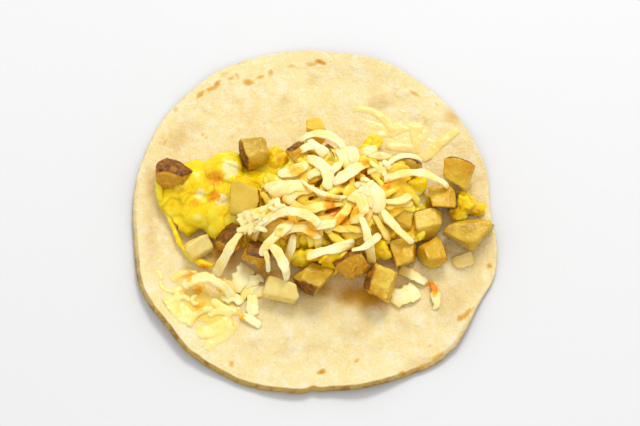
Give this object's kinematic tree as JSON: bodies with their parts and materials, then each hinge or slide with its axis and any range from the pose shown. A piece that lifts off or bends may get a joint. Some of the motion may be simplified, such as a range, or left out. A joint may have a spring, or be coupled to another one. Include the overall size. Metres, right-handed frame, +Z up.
{
  "type": "open breakfast burrito",
  "caption": "Flat flour tortilla with a long heap of scrambled egg, diced roast potato and grated, partly melted cheese on it, ready to be rolled into a burrito.",
  "frame": {"origin": "on the surface that the tortilla lies on, under the middle of the whole", "axes": "+X along the heap to the right, +Y to the back, +Z up"},
  "size_m": [0.2012, 0.2, 0.029],
  "materials": {
    "tortilla": "matte, floury, with toasted spots",
    "egg": "moist and glossy",
    "potato": "roasted flesh, satin, with brown skin on one side",
    "cheese": "satin, slightly translucent",
    "melted_cheese": "melted, glossy and translucent"
  },
  "bodies": {
    "root": {"tortilla": "tortilla", "scrambled_egg": "egg", "scrambled_egg_right": "egg", "potato_01": "potato", "potato_02": "potato", "potato_03": "potato", "potato_04": "potato", "potato_05": "potato", "potato_06": "potato", "potato_07": "potato", "potato_08": "potato", "potato_09": "potato", "potato_10": "potato", "potato_11": "potato", "potato_12": "potato", "potato_13": "potato", "potato_14": "potato", "potato_15": "potato", "potato_16": "potato", "potato_17": "potato", "potato_18": "potato", "potato_19": "potato", "potato_20": "potato", "potato_21": "potato", "potato_22": "potato", "grated_cheese": "cheese", "melted_cheese_front": "melted_cheese", "melted_cheese_back": "melted_cheese", "cheese_flake_1": "melted_cheese", "cheese_flake_2": "melted_cheese", "cheese_flake_3": "melted_cheese", "cheese_flake_4": "melted_cheese"}
  },
  "joints": []
}
